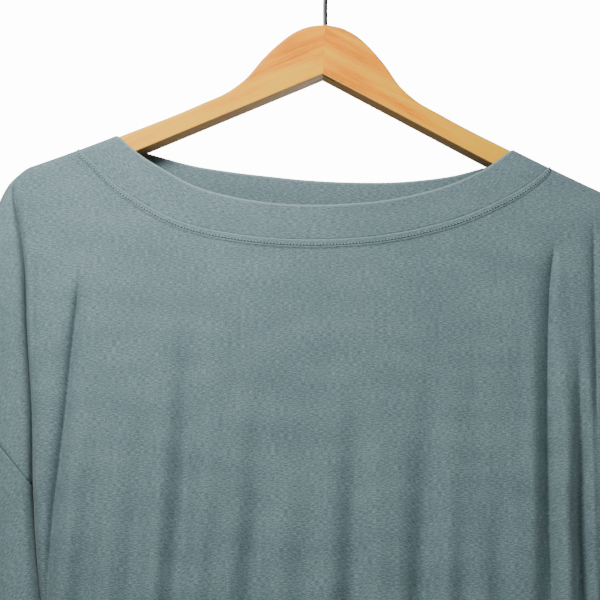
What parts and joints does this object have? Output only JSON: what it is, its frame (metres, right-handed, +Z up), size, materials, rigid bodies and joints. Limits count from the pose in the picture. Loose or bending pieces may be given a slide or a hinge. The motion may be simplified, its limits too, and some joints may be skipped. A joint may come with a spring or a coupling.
{
  "type": "batwing crop top on a wooden hanger",
  "caption": "Boxy batwing crop top with a wide boat neckband and short open sleeves, hung on a wooden hanger with a wire hook.",
  "frame": {"origin": "inside top of the hanger's hook, where it rests on a rail", "axes": "+X to the viewer's right seen from the front, -Y is the garment's front, +Z up"},
  "size_m": [0.583, 0.0507, 0.6228],
  "materials": {
    "front_panel": "grey-green melange jersey",
    "back_panel": "grey-green melange jersey",
    "neckband": "grey-green melange jersey, doubled",
    "sleeve_left": "grey-green melange jersey",
    "sleeve_right": "grey-green melange jersey",
    "hanger_arm_left": "clear satin lacquer",
    "hanger_arm_right": "clear satin lacquer",
    "hanger_hook": "black wire"
  },
  "bodies": {
    "root": {"front_panel": "front_panel", "back_panel": "back_panel", "neckband": "neckband", "sleeve_left": "sleeve_left", "sleeve_right": "sleeve_right", "hanger_arm_left": "hanger_arm_left", "hanger_arm_right": "hanger_arm_right", "hanger_hook": "hanger_hook"}
  },
  "joints": []
}
